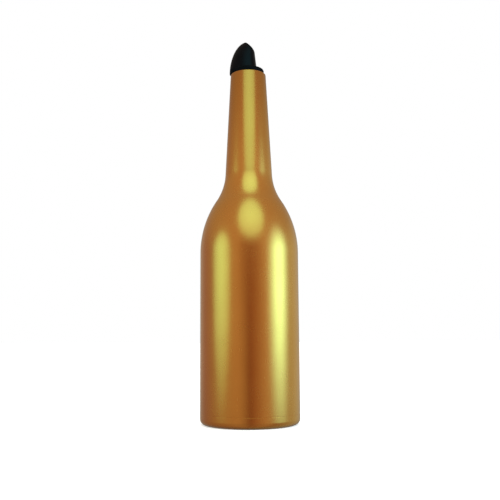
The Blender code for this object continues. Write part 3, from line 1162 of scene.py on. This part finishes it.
# %% [markdown]
# A shiny bottle is lit by what it mirrors. Here that is three soft lamps in a dim
# room: one over the camera, which makes the long light down the neck and the patch
# on the shoulder, and one low at each side, the right one much stronger. The face
# of a real softbox is brightest in the middle and falls off toward its rim. That
# is what gives the highlights on the bottle their soft edges, so each lamp's face
# gets the same fall, worked out from the place on the face. A lamp is easier to
# think of by how bright its face looks, so the helper turns that into watts:
# brightness times area times pi.

# %% How a lamp is made
LAMP_TINT = (0.29, 1.0, 0.90)


def soft_lamp(name, centre, facing, size, brightness, rim, fade, tint=LAMP_TINT):
    """A round lamp that falls to a share at its rim and fades toward its foot."""
    lamp = bpy.data.lights.new(name, "AREA")
    lamp.shape = "ELLIPSE"
    lamp.size, lamp.size_y = size
    area = lamp.size * lamp.size_y * math.pi / 4
    lamp.energy = brightness * area * math.pi
    lamp.color = tint
    lamp.use_nodes = True
    tree = lamp.node_tree
    place = add_node(tree, "ShaderNodeNewGeometry").outputs["Parametric"]
    centred = add_node(tree, "ShaderNodeVectorMath", {0: place, 1: (2.0, 2.0, 0.0),
                                                      2: (-1.0, -1.0, 0.0)},
                       operation="MULTIPLY_ADD").outputs["Vector"]
    away = add_node(tree, "ShaderNodeVectorMath", {0: centred}, operation="LENGTH")
    fall = spread(tree, away.outputs["Value"], 0.0, 1.0, 1.0, rim)
    fall.node.interpolation_type = "SMOOTHSTEP"
    up = add_node(tree, "ShaderNodeSeparateXYZ", {0: centred}).outputs["Y"]
    strength = sum_of(tree, fall, spread(tree, up, -1.0, 1.0, 1.0 - fade, 1.0 + fade), "MULTIPLY")
    tree.links.new(strength, tree.nodes["Emission"].inputs["Strength"])
    holder = add_object(name, lamp)
    holder.location = centre
    holder.rotation_mode = "QUATERNION"
    holder.rotation_quaternion = Vector(facing).to_track_quat("-Z", "Y")
    print(f"{name}: {lamp.energy:.2f} W")
    return holder


def side_lamp(name, side, distance, bearing, height, **face):
    """A lamp left or right of the camera, at a bearing from it, facing the bottle's axis."""
    angle = math.radians(bearing)
    centre = Vector((side * math.sin(angle), -math.cos(angle), 0.0)) * distance
    facing = -centre
    centre.z = height
    return soft_lamp(name, centre, facing, **face)


# %% [markdown]
# In the photograph the highlights have burnt out from orange to pale yellow. The
# lamps have little red in them, which gives the gold that same turn of colour. The
# cork and the tube only show once the pourer is pulled, and in such a light they
# would look green, so light linking gives them the same lamps without the tint.

# %% Hang the lamps
STRONG_TINT = (0.26, 0.78, 0.98)
PLAIN_TINT = (0.80, 0.94, 1.0)
PLAIN_SHARE = 0.8


def choose_pieces(name, pieces, state):
    """A collection that says which pieces a lamp lights, or which it leaves out."""
    chosen = bpy.data.collections.new(name)
    for piece in pieces:
        chosen.objects.link(piece)
    for entry in chosen.collection_objects:
        entry.light_linking.link_state = state
    return chosen


def plain_twin(holder):
    """The same lamp again, without its tint."""
    twin = holder.copy()
    twin.data = holder.data.copy()
    twin.name = "plain_" + holder.name
    twin.data.color = PLAIN_TINT
    twin.data.energy = holder.data.energy * PLAIN_SHARE
    bpy.context.scene.collection.objects.link(twin)
    return twin


tinted_lamps = (
    soft_lamp("top_lamp", centre=(0.035, -0.30, 0.415), facing=(0.0, 0.63, -0.78),
              size=(0.41, 0.405), brightness=1.40, rim=0.72, fade=0.25),
    side_lamp("left_lamp", side=-1, distance=0.42, bearing=65.2, height=0.153,
              size=(0.34, 0.316), brightness=1.58, rim=0.5, fade=0.35),
    side_lamp("right_lamp", side=1, distance=0.32, bearing=68.4, height=0.128,
              size=(0.34, 0.38), brightness=4.8, rim=0.10, fade=0.15, tint=STRONG_TINT),
)
pulled_pieces = (cork_sleeve, air_tube)
not_tinted = choose_pieces("left_out_by_the_tinted_lamps", pulled_pieces, "EXCLUDE")
lit_plainly = choose_pieces("lit_by_the_plain_lamps", pulled_pieces, "INCLUDE")
for tinted in tinted_lamps:
    plain_twin(tinted).light_linking.receiver_collection = lit_plainly
    tinted.light_linking.receiver_collection = not_tinted
print(len(tinted_lamps), "tinted lamps and as many plain ones")

# %% [markdown]
# The room itself is the world. What the camera sees of it is plain white. What
# the bottle mirrors is dim and warm, and darkest straight ahead, where the camera
# and whoever holds it stand. The direction of a ray gives its bearing: 0 is toward
# the camera, 90 is to the right. A ramp turns the bearing into a colour. Behind
# the bottle the room is cooler, brighter on the right, with a dark gap in the
# middle for its back to mirror. Above the lens the dark part is wider, as a head and
# shoulders are. The foot of the bottle sends rays a little downward, and there the
# room is darker and less red.

# %% The room
BACKDROP = 1.0
BEARINGS = (
    (-180, (0.10, 0.06, 0.05)),
    (-160, (0.43, 0.48, 0.49)),
    (-125, (0.30, 0.20, 0.27)),
    (-70, (0.38, 0.25, 0.18)),
    (-25, (0.50, 0.36, 0.255)),
    (-9, (0.33, 0.22, 0.145)),
    (0, (0.14, 0.0, 0.0)),
    (9, (0.29, 0.115, 0.06)),
    (40, (0.50, 0.355, 0.25)),
    (65, (0.30, 0.20, 0.14)),
    (125, (0.49, 0.57, 0.52)),
    (160, (0.43, 0.48, 0.49)),
    (180, (0.10, 0.06, 0.05)),
)
HIGH_FRONT = (0.48, 0.31, 0.22)
HIGH_BACK = (0.33, 0.31, 0.28)
HIGH_FROM = (0.15, 0.45)
BACK_TO_FRONT = (-0.9, 0.9)
GROUND = (0.33, 0.22, 0.17)
GROUND_FROM = (-0.40, -0.10)
GROUND_SHARE = 0.3
NO_SHADE = (1.0, 1.0, 1.0)
FOOT_SHADE = (0.77, 0.83, 0.84)
FOOT_SHADE_FROM = (-0.14, -0.05)
FIGURE = (0.25, 0.055, 0.02)
FIGURE_HALF = (math.radians(14), math.radians(28))
FIGURE_FROM = (0.07, 0.11)


def make_room():
    """A world that is seen as a white backdrop and mirrored as a dim room."""
    world = bpy.data.worlds.new("room")
    bpy.context.scene.world = world
    world.use_nodes = True
    tree = world.node_tree
    tree.nodes.clear()
    ray = add_node(tree, "ShaderNodeTexCoord").outputs["Generated"]
    parts = add_node(tree, "ShaderNodeSeparateXYZ", {0: ray})
    ahead = sum_of(tree, parts.outputs["Y"], -1.0, "MULTIPLY")
    bearing = sum_of(tree, parts.outputs["X"], ahead, "ARCTAN2")
    ramp = add_node(tree, "ShaderNodeValToRGB")
    tree.links.new(spread(tree, bearing, -math.pi, math.pi, 0.0, 1.0), ramp.inputs["Fac"])
    stops = ramp.color_ramp.elements
    while len(stops) < len(BEARINGS):
        stops.new(0.5)
    for stop, (degrees, colour) in zip(stops, BEARINGS):
        stop.position = (degrees + 180) / 360
        stop.color = (*colour, 1.0)
    frontward = spread(tree, ahead, *BACK_TO_FRONT, 0.0, 1.0)
    high = mix_colours(tree, frontward, HIGH_BACK, HIGH_FRONT)
    upward = spread(tree, parts.outputs["Z"], *HIGH_FROM, 0.0, 1.0)
    downward = spread(tree, parts.outputs["Z"], *GROUND_FROM, GROUND_SHARE, 0.0)
    turned = sum_of(tree, bearing, 0.0, "ABSOLUTE")
    wide = spread(tree, turned, *FIGURE_HALF, 1.0, 0.0)
    above = spread(tree, parts.outputs["Z"], *FIGURE_FROM, 0.0, 1.0)
    figure = sum_of(tree, wide, above, "MULTIPLY")
    colour = mix_colours(tree, figure, ramp.outputs["Color"], FIGURE)
    colour = mix_colours(tree, upward, colour, high)
    colour = mix_colours(tree, downward, colour, GROUND)
    foot = spread(tree, parts.outputs["Z"], *FOOT_SHADE_FROM, 1.0, 0.0)
    shade = mix_colours(tree, foot, NO_SHADE, FOOT_SHADE)
    colour = add_node(tree, "ShaderNodeVectorMath", {0: colour, 1: shade},
                      operation="MULTIPLY").outputs["Vector"]
    mirrored = add_node(tree, "ShaderNodeBackground", {"Color": colour})
    seen = add_node(tree, "ShaderNodeBackground", {"Color": (1.0, 1.0, 1.0, 1.0),
                                                   "Strength": BACKDROP})
    path = add_node(tree, "ShaderNodeLightPath")
    either = add_node(tree, "ShaderNodeMixShader", {
        0: path.outputs["Is Camera Ray"], 1: mirrored.outputs[0], 2: seen.outputs[0],
    })
    add_node(tree, "ShaderNodeOutputWorld", {"Surface": either.outputs[0]})
    print(f"{world.name}: {len(tree.nodes)} nodes")


make_room()

# %% [markdown]
# The floor is a sheet of white paper. It has a lamp of its own, an overcast sky
# straight above, which lights nothing else. Part of the paper's light is its own
# glow, as on a lightbox, so that the paper stays white and the bottle still stands
# in a faint, soft shadow. The bottle doesn't mirror the paper.

# %% The floor and its lamp
FLOOR_SIZE = 12.0
FLOOR_GAP = 0.0001
PAPER = (0.90, 0.90, 0.90)
PAPER_ROUGHNESS = 0.9
FIBRE_SCALE = 90
FIBRE_SHADE = 0.985
SKY_ANGLE = math.radians(75)
GLOW = 0.6


def make_floor():
    """White paper to the horizon, lit from above by a lamp that it alone sees."""
    shape = bmesh.new()
    bmesh.ops.create_grid(shape, x_segments=1, y_segments=1, size=FLOOR_SIZE)
    floor = object_from("paper_floor", shape)
    floor.location.z = base_low.z - FLOOR_GAP
    floor.visible_glossy = False
    floor.visible_diffuse = False
    material, tree, shader, place = start_finish("paper")
    fibres = noise(tree, place, FIBRE_SCALE, 3.0)
    colour = mix_colours(tree, fibres, tuple(FIBRE_SHADE * tone for tone in PAPER), PAPER)
    tree.links.new(colour, shader.inputs["Base Color"])
    shader.inputs["Roughness"].default_value = PAPER_ROUGHNESS
    shader.inputs["Specular IOR Level"].default_value = 0.0
    shader.inputs["Emission Color"].default_value = (1.0, 1.0, 1.0, 1.0)
    shader.inputs["Emission Strength"].default_value = GLOW * BACKDROP
    floor.data.materials.append(material)
    floor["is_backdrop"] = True
    return floor


def light_floor(floor):
    """An overcast sky that lights the floor and nothing else."""
    sky = bpy.data.lights.new("paper_sky", "SUN")
    sky.angle = SKY_ANGLE
    sky.energy = (1.0 - GLOW) * BACKDROP * math.pi / PAPER[0]
    holder = add_object("paper_sky", sky)
    lit = choose_pieces("lit_by_paper_sky", (floor,), "INCLUDE")
    holder.light_linking.receiver_collection = lit
    print(f"{holder.name} lights {floor.name} alone, with {sky.energy:.2f} W a square metre")


light_floor(make_floor())

# %% [markdown]
# The picture was taken from low down, at about a fifth of the bottle's height,
# looking up by seven degrees. The bottle's axis leans left by a third of a degree.
# The lens and the place were found by laying the known outline over the photograph.

# %% The camera
PHOTO_SIDE = 500
FOCAL_PIXELS = 716.9
SENSOR_WIDTH = 36.0
NEAREST = 0.01
CAMERA_PLACE = (0.00063, -0.54865, 0.0633)
LOOK_UP = math.radians(7.08)
LEAN = math.radians(0.335)


def make_camera():
    """A camera at the photograph's viewing angle."""
    camera = bpy.data.cameras.new("camera")
    camera.sensor_fit = "HORIZONTAL"
    camera.sensor_width = SENSOR_WIDTH
    camera.lens = FOCAL_PIXELS * SENSOR_WIDTH / PHOTO_SIDE
    camera.clip_start = NEAREST
    holder = add_object("camera", camera)
    look = Matrix.Rotation(math.pi / 2 + LOOK_UP, 4, "X")
    lean = Matrix.Rotation(-LEAN, 4, "Z")
    holder.matrix_world = Matrix.Translation(CAMERA_PLACE) @ look @ lean
    bpy.context.scene.camera = holder
    print(f"lens {camera.lens:.1f} mm")


make_camera()

# %% [markdown]
# The plain Standard view keeps the backdrop pure white and lets the strongest
# highlight burn out to pale yellow, as it does in the photograph.

# %% The look of the picture
view = bpy.context.scene.view_settings
view.view_transform = "Standard"
view.look = "None"
print("view:", view.view_transform, view.look)

# %% [markdown]
# Last, the finished model's box is printed beside the solid model's box. The two
# should agree, since each finished piece takes the place of its solid. The two
# must agree, because the finish may not change the object's size.

# %% Print the sizes of both models
finished_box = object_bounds()
for name, (low, high) in (("solid", solid_box), ("finished", finished_box)):
    print(name, [round(1000 * value, 2) for value in (*low, *high)])
